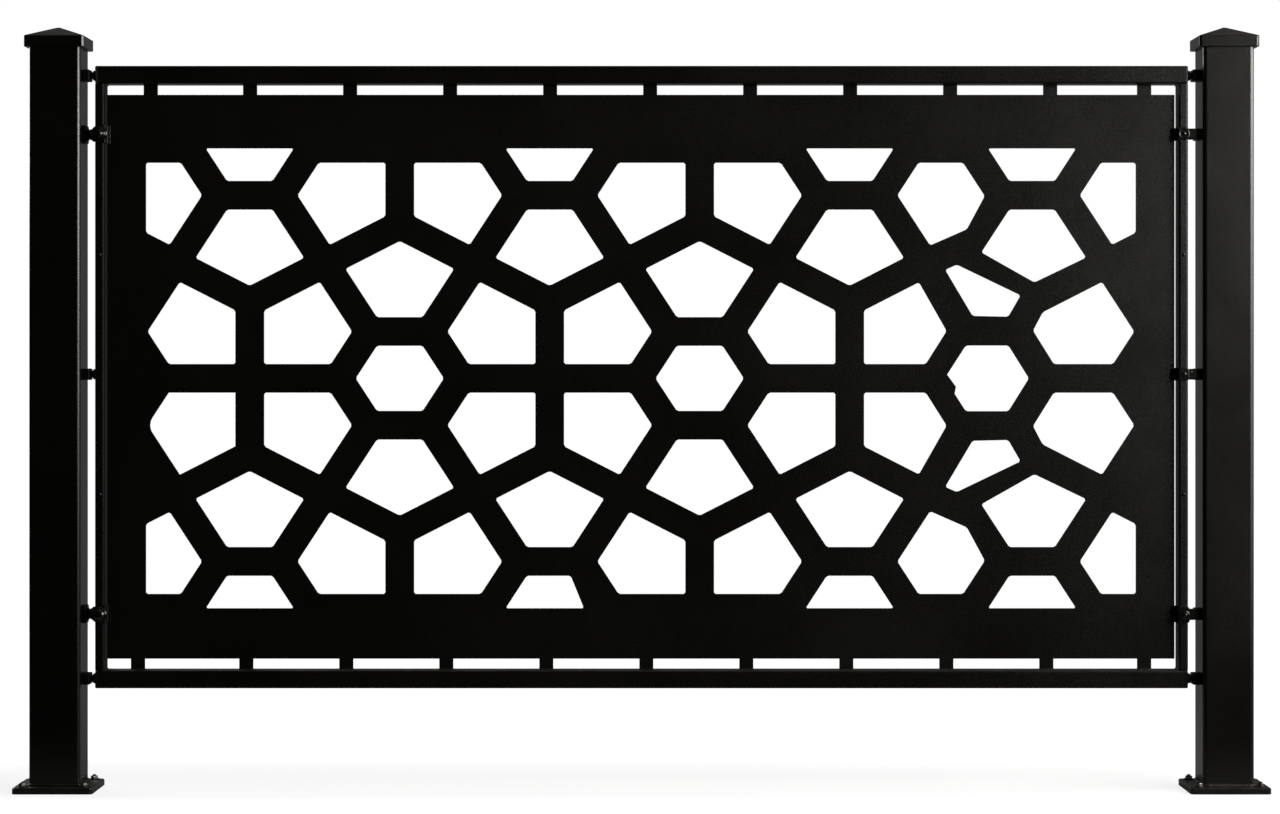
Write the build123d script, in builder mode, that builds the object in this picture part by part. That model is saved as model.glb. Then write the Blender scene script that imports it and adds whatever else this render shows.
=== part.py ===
# Metal fence panel: a laser-cut sheet in a tube frame, carried by brackets between two square posts.
# X runs along the fence from the axis of the left post, -Y is the front, and Z = 0 is the ground.
import os
from math import atan2, degrees

from build123d import *

os.makedirs("parts", exist_ok=True)

# Posts, feet and caps
post_spacing = 1830.0
post_size = 80.0
post_wall = 3.0
post_corner = 6.5
post_above = 38  # from the frame's top to the top end of the post
foot_size = 125.0
foot_thickness = 10.0
foot_corner = 4.0
foot_bevel = 1.5
anchor_spacing = 96.0
anchor_hole = 12.0
cap_size = 94.0
cap_corner = 3.5
cap_skirt = 17.0
cap_lap = 10.0  # how far the skirt reaches down over the post
cap_rise = 16.5
cap_tip = 4.0  # flat at the top of the pyramid
cap_wall = 3.0
cap_clearance = 0.5

# Frame of tubes
bracket_reach = 20.0  # from a post's face to the frame
frame_bottom = 160.5
frame_height = 974.0
frame_depth = 40.0
rail_height = 28.0
rail_wall = 2.0
rail_corner = 3.0
stile_width = 14.0
stile_wall = 1.5
stile_corner = 2.5
end_cap = 3.5
end_cap_bevel = 1.5
end_cap_spigot = 8.0
end_cap_clearance = 0.3

# Cut sheet, with eleven tabs along each long edge: one near each end and a row of nine between
sheet_thickness = 4.0
sheet_gap_left = 2.5
sheet_gap_right = 4.5
tab_top = 16.0
tab_bottom = 17.0
tab_width = 22.0
tab_pitch = 157.0
tab_row = 9
first_tab_top = 68.0  # from the sheet's left edge
first_tab_bottom = 48.0
tab_row_top = 224.0
tab_row_bottom = 218.0
last_tab = 47.5  # from the sheet's right edge
side_border = 60.5
top_border = 84.0
bottom_border = 79.0

# Tiling of hexagons and pentagons, stretched to the field inside the borders
columns_across = 3.3
first_column = 0.346  # from the field's left edge to the first hexagons, in columns
hexagon_reach = 96.0
bar_width = 45.0
cell_corner = 2.5
worn_corner = 22.0  # one pentagon at the left end has a round corner
slump = 18.0  # one half hexagon in the bottom row has its right-hand corner set back

# Brackets from post to frame, and clips from stile to sheet
bracket_inset_top = 106.5  # from the frame's outer edges to the upper and lower brackets
bracket_inset_bottom = 115.5
flange_depth = 32.0
nut_bevel = 1.2
arm_height = 17.0
arm_depth = 14.0
block = {"height": 18.0, "thickness": 11.0, "neck": 5.0, "nut": 8.5, "nut_length": 6.5}
arm_foot = {"height": 18.0, "thickness": 7.0}
knuckle = {"height": 28.0, "thickness": 5.0, "neck": 7.0, "nut": 11.5, "nut_length": 8.0}
clip_thickness = 3.0
clip_bend = 1.2
clip_wing = 5.0  # how far a clip laps over the sheet
large_clip = {"height": 28.0, "pad": 26.0}
small_clip = {"height": 20.0, "pad": 19.0}
tall_clip = {"height": 26.0, "pad": 19.0}

# Derived places
post_face = post_size / 2
frame_left = post_face + bracket_reach
frame_right = post_spacing - frame_left
frame_top = frame_bottom + frame_height
post_height = frame_top + post_above
frame_front = -frame_depth / 2
bottom_rail_top = frame_bottom + rail_height
top_rail_bottom = frame_top - rail_height
stile_left = frame_left + stile_width
stile_right = frame_right - stile_width
sheet_left = stile_left + sheet_gap_left
sheet_right = stile_right - sheet_gap_right
sheet_bottom = bottom_rail_top + tab_bottom
sheet_top = top_rail_bottom - tab_top
sheet_front = -sheet_thickness / 2
field_left = sheet_left + side_border
field_right = sheet_right - side_border
field_bottom = sheet_bottom + bottom_border
field_top = sheet_top - top_border
column_pitch = (field_right - field_left) / columns_across
row_pitch = (field_top - field_bottom) / 2
field_middle = field_top - row_pitch
upper_level = frame_top - bracket_inset_top
lower_level = frame_bottom + bracket_inset_bottom
middle_level = (upper_level + lower_level) / 2
post_places = {"left": 0.0, "right": post_spacing}
rail_places = {"bottom": frame_bottom + rail_height / 2, "top": frame_top - rail_height / 2}


def save(part, name):
    part.label = name
    export_step(part, f"parts/{name}.step")


# Section of a rectangular tube, drawn in the sketch that is open
def tube_section(width, depth, corner, wall):
    RectangleRounded(width, depth, corner)
    RectangleRounded(width - 2 * wall, depth - 2 * wall, corner - wall, mode=Mode.SUBTRACT)


# Base plates with a bolt hole at each corner
for side, post_x in post_places.items():
    with BuildPart() as base_plate:
        with BuildSketch(Plane((post_x, 0, 0))) as foot:
            Rectangle(foot_size, foot_size)
            chamfer(foot.vertices(), foot_corner)
        extrude(amount=foot_thickness)
        chamfer(base_plate.faces().sort_by(Axis.Z)[-1].edges(), foot_bevel)
        with Locations((post_x, 0, foot_thickness)):
            with GridLocations(anchor_spacing, anchor_spacing, 2, 2):
                Hole(anchor_hole / 2, foot_thickness)
    save(base_plate.part, f"{side}_base_plate")

# Square posts, standing on the plates
for side, post_x in post_places.items():
    with BuildPart() as post:
        with BuildSketch(Plane((post_x, 0, foot_thickness))):
            tube_section(post_size, post_size, post_corner, post_wall)
        extrude(amount=post_height - foot_thickness)
    save(post.part, f"{side}_post")

# Pyramid caps, hollow, whose skirts hang over the posts and whose shoulders rest on the posts' ends
skirt_bottom = post_height - cap_lap
skirt_top = skirt_bottom + cap_skirt
pocket_size = post_size + 2 * cap_clearance
hollow_size = post_size - 2 * post_wall
hollow_rise = cap_skirt - cap_lap + cap_rise - 2 * cap_wall


# Pyramid on the sketch just drawn, from a square of one size up to the tip
def pyramid(size, rise, mode):
    slope = degrees(atan2((size - cap_tip) / 2, rise))
    extrude(amount=rise, taper=slope, mode=mode)


for side, post_x in post_places.items():
    with BuildPart() as cap:
        with BuildSketch(Plane((post_x, 0, skirt_bottom))):
            Rectangle(cap_size, cap_size)
        extrude(amount=cap_skirt)
        with BuildSketch(Plane((post_x, 0, skirt_top))):
            Rectangle(cap_size, cap_size)
        pyramid(cap_size, cap_rise, Mode.ADD)
        with BuildSketch(Plane((post_x, 0, skirt_bottom))) as eased:
            Rectangle(cap_size, cap_size)
            chamfer(eased.vertices(), cap_corner)
        extrude(amount=cap_skirt + cap_rise, mode=Mode.INTERSECT)
        with BuildSketch(Plane((post_x, 0, skirt_bottom))):
            Rectangle(pocket_size, pocket_size)
        extrude(amount=cap_lap, mode=Mode.SUBTRACT)
        with BuildSketch(Plane((post_x, 0, post_height))):
            Rectangle(hollow_size, hollow_size)
        pyramid(hollow_size, hollow_rise, Mode.SUBTRACT)
    save(cap.part, f"{side}_post_cap")

# Rails along the top and bottom of the frame, each end closed by a cap with a spigot
for level, rail_z in rail_places.items():
    with BuildPart() as rail:
        with BuildSketch(Plane((frame_left + end_cap, 0, rail_z), x_dir=(0, 1, 0), z_dir=(1, 0, 0))):
            tube_section(frame_depth, rail_height, rail_corner, rail_wall)
        extrude(amount=frame_right - frame_left - 2 * end_cap)
    save(rail.part, f"{level}_rail")
    for side, end_x, inward in (("left", frame_left, 1), ("right", frame_right, -1)):
        end_plane = Plane((end_x, 0, rail_z), x_dir=(0, inward, 0), z_dir=(inward, 0, 0))
        spigot_play = 2 * (rail_wall + end_cap_clearance)
        with BuildPart() as rail_cap:
            with BuildSketch(end_plane) as closure:
                Rectangle(frame_depth, rail_height)
                chamfer(closure.vertices(), end_cap_bevel)
            extrude(amount=end_cap)
            outer_face = rail_cap.faces().sort_by(Axis.X)[0 if inward > 0 else -1]
            chamfer(outer_face.edges(), end_cap_bevel)
            with BuildSketch(end_plane.offset(end_cap)):
                Rectangle(frame_depth - spigot_play, rail_height - spigot_play)
                offset(amount=-rail_wall, mode=Mode.SUBTRACT)
            extrude(amount=end_cap_spigot)
        save(rail_cap.part, f"{level}_rail_{side}_cap")

# Stiles between the rails
for side, stile_x in (("left", frame_left + stile_width / 2), ("right", frame_right - stile_width / 2)):
    with BuildPart() as stile:
        with BuildSketch(Plane((stile_x, 0, bottom_rail_top))):
            tube_section(stile_width, frame_depth, stile_corner, stile_wall)
        extrude(amount=top_rail_bottom - bottom_rail_top)
    save(stile.part, f"{side}_stile")

# The tiling is a run of hexagons on staggered rows. Bars leave each hexagon's six corners towards its
# neighbours, cross half way, and meet in threes between, so that each pair of bars closes off a pentagon.
first_x = field_left + first_column * column_pitch
neighbours = [
    (column_pitch, 0),
    (column_pitch / 2, row_pitch),
    (-column_pitch / 2, row_pitch),
    (-column_pitch, 0),
    (-column_pitch / 2, -row_pitch),
    (column_pitch / 2, -row_pitch),
]


# Middle of the hexagon in a column and a row, where row 0 is half way up the field
def hexagon_middle(column, row):
    stagger = 0.5 if row == 0 else 0.0
    return (first_x + (column + stagger) * column_pitch, field_middle + row * row_pitch)


# Point that lies some share of the way from a hexagon's middle to one or two of its neighbours
def toward(middle, share, *directions):
    across = sum(neighbours[d % 6][0] for d in directions)
    up = sum(neighbours[d % 6][1] for d in directions)
    return (middle[0] + share * across, middle[1] + share * up)


def hexagon_corner(middle, direction):
    return toward(middle, hexagon_reach / column_pitch, direction)


def hexagon(middle):
    return [hexagon_corner(middle, d) for d in range(6)]


def pentagon(middle, direction):
    return [
        hexagon_corner(middle, direction),
        toward(middle, 1 / 2, direction),
        toward(middle, 1 / 3, direction, direction + 1),
        toward(middle, 1 / 2, direction + 1),
        hexagon_corner(middle, direction + 1),
    ]


def mirrored_across(outline):
    return [(field_left + field_right - x, z) for x, z in outline]


def mirrored_up(outline):
    return [(x, 2 * field_middle - z) for x, z in outline]


# Cells of the upper half, from the left end as far as the run stays regular. The field's edge cuts the
# hexagons of the outer rows in half, and takes the tip off the pentagon in each corner.
end_cut_cells = [hexagon(hexagon_middle(0, 1)), pentagon(hexagon_middle(0, 1), 3)]
end_house = pentagon(hexagon_middle(0, 1), 4)
end_pentagon = pentagon(hexagon_middle(-1, 0), 0)
run_cells = [end_house, pentagon(hexagon_middle(0, 1), 5)]
run_cells += [pentagon(hexagon_middle(column, 0), d) for column in (0, 1) for d in (0, 1, 2)]
run_cells += [pentagon(hexagon_middle(1, 1), d) for d in (3, 4, 5)]
run_cells += [pentagon(hexagon_middle(2, 1), d) for d in (3, 4)]

# The right end is the left end turned over. Where it meets the run the tiling doesn't close, and a seam of
# odd cells fills the space, placed in shares of a column and a row from the hexagon that would come next.
seam = hexagon_middle(2, 0)
far_hexagon = mirrored_across(hexagon(hexagon_middle(0, 1)))
far_house = mirrored_across(end_house)
far_pentagon = mirrored_across(end_pentagon)


def seam_point(across, up):
    return (seam[0] + across * column_pitch, seam[1] + up * row_pitch)


seam_crossing = seam_point(-0.25, 0.5)
seam_hexagon = [
    seam_point(0.154, 0),
    seam_point(0.056, 0.205),
    seam_point(-0.139, 0.205),
    seam_point(-0.24, 0),
    seam_point(-0.139, -0.205),
    seam_point(0.056, -0.205),
]
seam_spur = [
    seam_point(-0.195, 0),
    seam_point(-0.176, 0.018),
    seam_point(-0.146, -0.036),
    seam_point(-0.15, -0.066),
    seam_point(-0.19, -0.07),
]
seam_cells = [
    [
        seam_point(-0.121, 0.204),
        seam_crossing,
        toward(seam, 1 / 3, 2, 3),
        toward(seam, 1 / 2, 3),
        seam_point(-0.22, 0),
    ],
    [
        hexagon_corner(hexagon_middle(2, 1), 0),
        far_hexagon[0],
        far_hexagon[5],
        seam_point(-0.075, 0.6),
        seam_crossing,
        hexagon_corner(hexagon_middle(2, 1), 5),
    ],
    [
        seam_crossing,
        seam_point(-0.142, 0.563),
        seam_point(0.137, 0.388),
        seam_hexagon[1],
        seam_point(-0.118, 0.21),
    ],
    [far_house[0], far_house[1], seam_point(0.114, 0.347), seam_point(-0.129, 0.526), far_house[4]],
    [far_pentagon[2], far_pentagon[3], far_pentagon[4], far_pentagon[0], seam_hexagon[0], seam_hexagon[1]],
]

# Both halves of the field, with the two cells of the lower half that came out differently
slumped_hexagon = hexagon(hexagon_middle(1, -1))
slumped_hexagon[0] = (slumped_hexagon[0][0] - slump, slumped_hexagon[0][1])
upper_cells = run_cells + seam_cells
whole_cells = [end_pentagon, hexagon(hexagon_middle(0, 0)), hexagon(hexagon_middle(1, 0)), seam_hexagon]
whole_cells += upper_cells + [mirrored_up(cell) for cell in upper_cells]
upper_cut_cells = end_cut_cells + [mirrored_across(cell) for cell in end_cut_cells]
upper_cut_cells.append(hexagon(hexagon_middle(2, 1)))
cut_cells = upper_cut_cells + [mirrored_up(cell) for cell in upper_cut_cells]
cut_cells += [hexagon(hexagon_middle(1, 1)), slumped_hexagon]


# Opening of one cell, half a bar inside its outline with its corners eased. One that the field's edge cuts
# is trimmed to the field, and a worn one is round at its left-hand corner.
def opening(corners, cut=False, worn=False):
    with BuildSketch() as cell:
        with BuildLine():
            Polyline(*corners, close=True)
        make_face()
        offset(amount=-bar_width / 2, kind=Kind.INTERSECTION)
        if cut:
            with Locations(((field_left + field_right) / 2, (field_bottom + field_top) / 2)):
                Rectangle(field_right - field_left, field_top - field_bottom, mode=Mode.INTERSECT)
        if worn:
            fillet(cell.vertices().sort_by(Axis.X)[0], worn_corner)
        else:
            chamfer(cell.vertices(), cell_corner)
    return cell.sketch


openings = [opening(corners) for corners in whole_cells]
openings += [opening(corners, cut=True) for corners in cut_cells]
openings.append(opening(mirrored_up(end_pentagon), worn=True))

# Cut sheet, whose tabs reach the rails above and below
tab_steps = [tab * tab_pitch for tab in range(tab_row)]
top_tabs = [sheet_left + first_tab_top, sheet_right - last_tab]
top_tabs += [sheet_left + tab_row_top + step for step in tab_steps]
bottom_tabs = [sheet_left + first_tab_bottom, sheet_right - last_tab]
bottom_tabs += [sheet_left + tab_row_bottom + step for step in tab_steps]
with BuildPart() as infill_sheet:
    with BuildSketch(Plane((0, -sheet_front, 0), x_dir=(1, 0, 0), z_dir=(0, -1, 0))):
        with Locations(((sheet_left + sheet_right) / 2, (sheet_bottom + sheet_top) / 2)):
            Rectangle(sheet_right - sheet_left, sheet_top - sheet_bottom)
        with Locations([(tab_x, sheet_top) for tab_x in top_tabs]):
            Rectangle(tab_width, tab_top, align=(Align.CENTER, Align.MIN))
        with Locations([(tab_x, sheet_bottom) for tab_x in bottom_tabs]):
            Rectangle(tab_width, tab_bottom, align=(Align.CENTER, Align.MAX))
        add(openings, mode=Mode.SUBTRACT)
        with BuildLine():
            Polyline(*seam_spur, close=True)
        make_face()
    extrude(amount=sheet_thickness)
save(infill_sheet.part, "infill_sheet")

# Brackets: a flange on the post's inner face, and either a round neck with a nut against the frame or, at
# the three levels on the right where a clip is, a flat arm that reaches the frame's front edge
bracket_levels = {
    "top": rail_places["top"],
    "upper": upper_level,
    "middle": middle_level,
    "lower": lower_level,
    "bottom": rail_places["bottom"],
}
armed = ["right_upper", "right_middle", "right_lower"]
flange_shapes = {"left_upper": knuckle, "left_lower": knuckle} | dict.fromkeys(armed, arm_foot)
for side, face_x, inward in (("left", post_face, 1), ("right", post_spacing - post_face, -1)):
    for level, bracket_z in bracket_levels.items():
        shape = flange_shapes.get(f"{side}_{level}", block)
        face_plane = Plane((face_x, 0, bracket_z), x_dir=(0, inward, 0), z_dir=(inward, 0, 0))
        with BuildPart() as bracket:
            if f"{side}_{level}" in armed:
                with BuildSketch(face_plane):
                    with Locations((inward * (frame_front + arm_depth / 2), 0)):
                        Rectangle(arm_depth, arm_height)
                extrude(amount=bracket_reach)
            else:
                with BuildSketch(face_plane.offset(bracket_reach - shape["nut_length"])):
                    RegularPolygon(shape["nut"], 6)
                extrude(amount=shape["nut_length"])
                chamfer(bracket.faces().filter_by(Axis.X).edges(), nut_bevel)
                with BuildSketch(face_plane):
                    Circle(shape["neck"])
                extrude(amount=bracket_reach)
            with BuildSketch(face_plane) as flange:
                Rectangle(flange_depth, shape["height"])
                chamfer(flange.vertices(), shape["height"] / 5)
            extrude(amount=shape["thickness"])
        save(bracket.part, f"{side}_{level}_bracket")

# Clips: a round pad on the stile's front, and a strap that steps back and laps over the edge of the sheet
clips = [
    ("left", "upper", upper_level, large_clip),
    ("left", "lower", lower_level, large_clip),
    ("right", "upper", upper_level, small_clip),
    ("right", "middle", middle_level, small_clip),
    ("right", "lower", lower_level, tall_clip),
]
clip_places = {"left": (stile_left, sheet_left, 1), "right": (stile_right, sheet_right, -1)}
for side, level, clip_z, shape in clips:
    stile_x, sheet_x, inward = clip_places[side]
    pad_x = stile_x - inward * stile_width / 2
    leg_x = stile_x + inward * clip_thickness
    wing_x = sheet_x + inward * clip_wing
    with BuildPart() as clip:
        with BuildSketch(Plane((0, 0, clip_z - shape["height"] / 2))) as strap:
            with BuildLine():
                Polyline(
                    (pad_x, frame_front),
                    (stile_x, frame_front),
                    (stile_x, sheet_front),
                    (wing_x, sheet_front),
                    (wing_x, sheet_front - clip_thickness),
                    (leg_x, sheet_front - clip_thickness),
                    (leg_x, frame_front - clip_thickness),
                    (pad_x, frame_front - clip_thickness),
                    close=True,
                )
            make_face()
            bends = strap.vertices().filter_by_position(Axis.X, min(stile_x, leg_x), max(stile_x, leg_x))
            chamfer(bends, clip_bend)
        extrude(amount=shape["height"])
        with BuildSketch(Plane((pad_x, frame_front, clip_z), x_dir=(1, 0, 0), z_dir=(0, -1, 0))):
            Circle(shape["pad"] / 2)
        extrude(amount=clip_thickness)
    save(clip.part, f"{side}_{level}_clip")
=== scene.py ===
import math
import bpy
from mathutils import Matrix, Vector


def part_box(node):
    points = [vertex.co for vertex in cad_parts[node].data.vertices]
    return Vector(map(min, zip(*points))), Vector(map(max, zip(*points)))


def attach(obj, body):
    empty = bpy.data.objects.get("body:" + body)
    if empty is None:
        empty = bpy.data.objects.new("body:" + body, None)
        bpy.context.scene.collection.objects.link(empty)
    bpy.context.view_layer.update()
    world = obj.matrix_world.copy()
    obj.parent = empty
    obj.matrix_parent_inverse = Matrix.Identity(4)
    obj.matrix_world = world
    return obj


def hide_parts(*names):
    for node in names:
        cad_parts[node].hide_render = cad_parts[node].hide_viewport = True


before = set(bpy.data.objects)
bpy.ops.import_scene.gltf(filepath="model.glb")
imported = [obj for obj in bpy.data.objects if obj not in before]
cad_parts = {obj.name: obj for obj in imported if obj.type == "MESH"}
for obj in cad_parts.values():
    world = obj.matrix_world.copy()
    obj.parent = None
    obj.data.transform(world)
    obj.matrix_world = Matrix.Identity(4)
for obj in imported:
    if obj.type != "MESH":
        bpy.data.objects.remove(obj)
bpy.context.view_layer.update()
print("frame loaded, nodes:", len(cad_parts))

mm = 0.001


# small tools for working by operator

def editMode():
    bpy.ops.object.mode_set(mode="EDIT")


def objectMode():
    bpy.ops.object.mode_set(mode="OBJECT")


def deselect():
    if bpy.context.object and bpy.context.object.mode != "OBJECT":
        objectMode()
    bpy.ops.object.select_all(action="DESELECT")


def pick(piece):
    deselect()
    piece.select_set(True)
    bpy.context.view_layer.objects.active = piece


def applyModifier(piece, kind, **values):
    pick(piece)
    modifier = piece.modifiers.new(kind.lower(), kind)
    for label, value in values.items():
        setattr(modifier, label, value)
    bpy.ops.object.modifier_apply(modifier=modifier.name)


def bevelEdges(piece, width, segments=3, angle=30):
    applyModifier(
        piece, "BEVEL",
        width=width, segments=segments, limit_method="ANGLE",
        angle_limit=math.radians(angle), use_clamp_overlap=True,
    )


def settle(piece):  # place, turn and scale go into the mesh
    pick(piece)
    bpy.ops.object.transform_apply(location=True, rotation=True, scale=True)


def mergeClose(piece, reach=0.005 * mm):
    pick(piece)
    editMode()
    bpy.ops.mesh.select_all(action="SELECT")
    bpy.ops.mesh.remove_doubles(threshold=reach)
    objectMode()


def fixNormals(piece):
    mergeClose(piece)
    editMode()
    bpy.ops.mesh.normals_make_consistent(inside=False)
    objectMode()


def smooth(piece, angle=38):
    pick(piece)
    bpy.ops.object.shade_smooth_by_angle(angle=math.radians(angle))


def flattenShading(piece, weight):  # flats stay flat beside eased edges
    applyModifier(piece, "WEIGHTED_NORMAL", weight=weight, keep_sharp=True)


def joined(pieces, name):
    deselect()
    for piece in pieces:
        piece.select_set(True)
    bpy.context.view_layer.objects.active = pieces[0]
    if len(pieces) > 1:
        bpy.ops.object.join()
    pieces[0].name = name
    pieces[0].data.name = name
    return pieces[0]


def copied(piece, name, offset):
    twin = piece.copy()
    twin.data = piece.data.copy()
    twin.name = name
    twin.data.name = name
    bpy.context.scene.collection.objects.link(twin)
    twin.data.transform(Matrix.Translation(Vector(offset)))
    return twin


def middleOf(node):
    low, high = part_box(node)
    return [(low[axis] + high[axis]) / 2 for axis in range(3)]


def barAt(centre, size):
    deselect()
    bpy.ops.mesh.primitive_cube_add(size=1, location=centre)
    bar = bpy.context.object
    bar.scale = size
    settle(bar)
    return bar


def selectEdges(piece, chosen):  # chosen by the run from an edge's first point to its last
    for edge in piece.data.edges:
        first, last = (piece.data.vertices[index].co for index in edge.vertices)
        edge.select = chosen(last - first)
    for face in piece.data.polygons:
        face.select = False


# edges that run along one axis are rounded
def roundAlong(piece, axis, width, segments, straight=0.999):
    pick(piece)
    selectEdges(piece, lambda run: abs(run[axis]) > straight * run.length)
    editMode()
    bpy.ops.mesh.select_mode(type="EDGE")
    bpy.ops.mesh.bevel(offset=width, segments=segments, affect="EDGES")
    bpy.ops.mesh.select_mode(type="FACE")
    objectMode()


facing = {
    "up": (0, 0, 0),
    "front": (math.pi / 2, 0, 0),
    "right": (0, math.pi / 2, 0),
    "left": (0, -math.pi / 2, 0),
}


# a disc drawn up through rings of (height, radius) in mm, then turned to face one way and put in place
def turned(rings, sides, way, place):
    deselect()
    height, radius = (value * mm for value in rings[0])
    bpy.ops.mesh.primitive_circle_add(
        vertices=sides, radius=radius, fill_type="NGON", location=(0, 0, height)
    )
    piece = bpy.context.object
    settle(piece)
    editMode()
    bpy.ops.mesh.select_all(action="SELECT")
    for ring in rings[1:]:
        nextHeight, nextRadius = (value * mm for value in ring)
        bpy.ops.mesh.extrude_region_move(
            TRANSFORM_OT_translate={"value": (0, 0, nextHeight - height)}
        )
        grow = nextRadius / radius
        bpy.ops.transform.resize(value=(grow, grow, 1), center_override=(0, 0, nextHeight))
        height, radius = nextHeight, nextRadius
    objectMode()
    fixNormals(piece)
    piece.rotation_euler = facing[way]
    piece.location = place
    settle(piece)
    return piece


# camera at the photograph's place, level, with the frame shifted down a little
cameraSettings = {
    "place": (0.915, -5.2016, 0.6586), "lens": 93.18, "sensor": 36,
    "shiftX": -0.0012, "shiftY": -0.0289, "farEnd": 100,
}
deselect()
bpy.ops.object.camera_add(location=cameraSettings["place"], rotation=facing["front"])
camera = bpy.context.object
camera.data.sensor_fit = "HORIZONTAL"
camera.data.sensor_width = cameraSettings["sensor"]
camera.data.lens = cameraSettings["lens"]
camera.data.shift_x = cameraSettings["shiftX"]
camera.data.shift_y = cameraSettings["shiftY"]
camera.data.clip_end = cameraSettings["farEnd"]
bpy.context.scene.camera = camera
bpy.context.scene.view_settings.view_transform = "Standard"
print("camera set")


# small tools for node trees

def feed(tree, socket, value):  # a number or a colour is set, an output is linked
    if isinstance(value, (int, float)):
        socket.default_value = value
    elif isinstance(value, tuple):
        socket.default_value = (*value, 1)
    else:
        tree.links.new(value, socket)


def newGroup(name, inputs, outputs):
    group = bpy.data.node_groups.new(name, "ShaderNodeTree")
    for label, value in inputs.items():
        socket = group.interface.new_socket(name=label, in_out="INPUT", socket_type="NodeSocketFloat")
        socket.default_value = value
    for label in outputs:
        group.interface.new_socket(name=label, in_out="OUTPUT", socket_type="NodeSocketFloat")
    return group, group.nodes.new("NodeGroupInput"), group.nodes.new("NodeGroupOutput")


def placeGroup(tree, group, values):
    node = tree.nodes.new("ShaderNodeGroup")
    node.node_tree = group
    for label, value in values.items():
        node.inputs[label].default_value = value
    return node.outputs


def ownPlace(tree):
    return tree.nodes.new("ShaderNodeTexCoord").outputs["Object"]


def mathNode(tree, operation, first, second=None, clamp=False):
    node = tree.nodes.new("ShaderNodeMath")
    node.operation = operation
    node.use_clamp = clamp
    feed(tree, node.inputs[0], first)
    if second is not None:
        feed(tree, node.inputs[1], second)
    return node.outputs[0]


def plus(tree, first, second, clamp=False):
    return mathNode(tree, "ADD", first, second, clamp)


def times(tree, first, second, clamp=False):
    return mathNode(tree, "MULTIPLY", first, second, clamp)


def noiseNode(tree, coordinates, scale, detail, roughness):
    node = tree.nodes.new("ShaderNodeTexNoise")
    tree.links.new(coordinates, node.inputs["Vector"])
    feed(tree, node.inputs["Scale"], scale)
    node.inputs["Detail"].default_value = detail
    node.inputs["Roughness"].default_value = roughness
    return node.outputs["Fac"]


def rampNode(tree, value, low, high):  # 0 to 1 with soft ends
    node = tree.nodes.new("ShaderNodeMapRange")
    node.interpolation_type = "SMOOTHSTEP"
    tree.links.new(value, node.inputs["Value"])
    node.inputs["From Min"].default_value = low
    node.inputs["From Max"].default_value = high
    return node.outputs["Result"]


def spreadNode(tree, value, limits, results):  # straight from one pair of numbers to another
    node = tree.nodes.new("ShaderNodeMapRange")
    tree.links.new(value, node.inputs["Value"])
    node.inputs["From Min"].default_value, node.inputs["From Max"].default_value = limits
    node.inputs["To Min"].default_value, node.inputs["To Max"].default_value = results
    return node.outputs["Result"]


def colourMix(tree, factor, first, second):
    node = tree.nodes.new("ShaderNodeMix")
    node.data_type = "RGBA"
    tree.links.new(factor, node.inputs["Factor"])
    feed(tree, node.inputs["A"], first)
    feed(tree, node.inputs["B"], second)
    return node.outputs["Result"]


def bumpNode(tree, height, strength, distance):
    node = tree.nodes.new("ShaderNodeBump")
    node.inputs["Strength"].default_value = strength
    node.inputs["Distance"].default_value = distance
    tree.links.new(height, node.inputs["Height"])
    return node.outputs["Normal"]


# shared effects as node groups; a noise is given as detail and roughness, limits as low and high

# powder coat: a fine peel with a finer grain on it, and slow clouds of more and less gloss
grainSettings = {
    "inputs": {"Peel Scale": 420.0, "Grain Scale": 1700.0, "Cloud Scale": 3.5},
    "peel": (2.0, 0.5), "grain": (2.0, 0.6), "cloud": (5.0, 0.62), "grainShare": 0.35,
}
coatGrain, groupIn, groupOut = newGroup("coatGrain", grainSettings["inputs"], ["Height", "Cloud"])
place = ownPlace(coatGrain)
peel = noiseNode(coatGrain, place, groupIn.outputs["Peel Scale"], *grainSettings["peel"])
grain = noiseNode(coatGrain, place, groupIn.outputs["Grain Scale"], *grainSettings["grain"])
cloud = noiseNode(coatGrain, place, groupIn.outputs["Cloud Scale"], *grainSettings["cloud"])
height = plus(coatGrain, peel, times(coatGrain, grain, grainSettings["grainShare"]))
coatGrain.links.new(height, groupOut.inputs["Height"])
coatGrain.links.new(cloud, groupOut.inputs["Cloud"])

# dust that lies on what faces up, thin all over and thicker in specks
dustSettings = {
    "inputs": {"Film": 0.25, "Specks": 0.6, "Speck Scale": 330.0},
    "upward": (0.25, 0.95),
    "patchScale": 22.0, "patch": (4.0, 0.6), "patchLimits": (0.35, 0.7),
    "speck": (2.0, 0.7), "speckLimits": (0.58, 0.72),
}
settledDust, groupIn, groupOut = newGroup("settledDust", dustSettings["inputs"], ["Mask", "Upward"])
place = ownPlace(settledDust)
split = settledDust.nodes.new("ShaderNodeSeparateXYZ")
normal = settledDust.nodes.new("ShaderNodeNewGeometry").outputs["Normal"]
settledDust.links.new(normal, split.inputs[0])
upward = rampNode(settledDust, split.outputs["Z"], *dustSettings["upward"])
patches = noiseNode(settledDust, place, dustSettings["patchScale"], *dustSettings["patch"])
patches = rampNode(settledDust, patches, *dustSettings["patchLimits"])
specks = noiseNode(settledDust, place, groupIn.outputs["Speck Scale"], *dustSettings["speck"])
specks = rampNode(settledDust, specks, *dustSettings["speckLimits"])
film = times(settledDust, patches, groupIn.outputs["Film"])
spots = times(settledDust, specks, groupIn.outputs["Specks"])
mask = times(settledDust, plus(settledDust, film, spots), upward, clamp=True)
settledDust.links.new(mask, groupOut.inputs["Mask"])
settledDust.links.new(upward, groupOut.inputs["Upward"])

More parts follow.
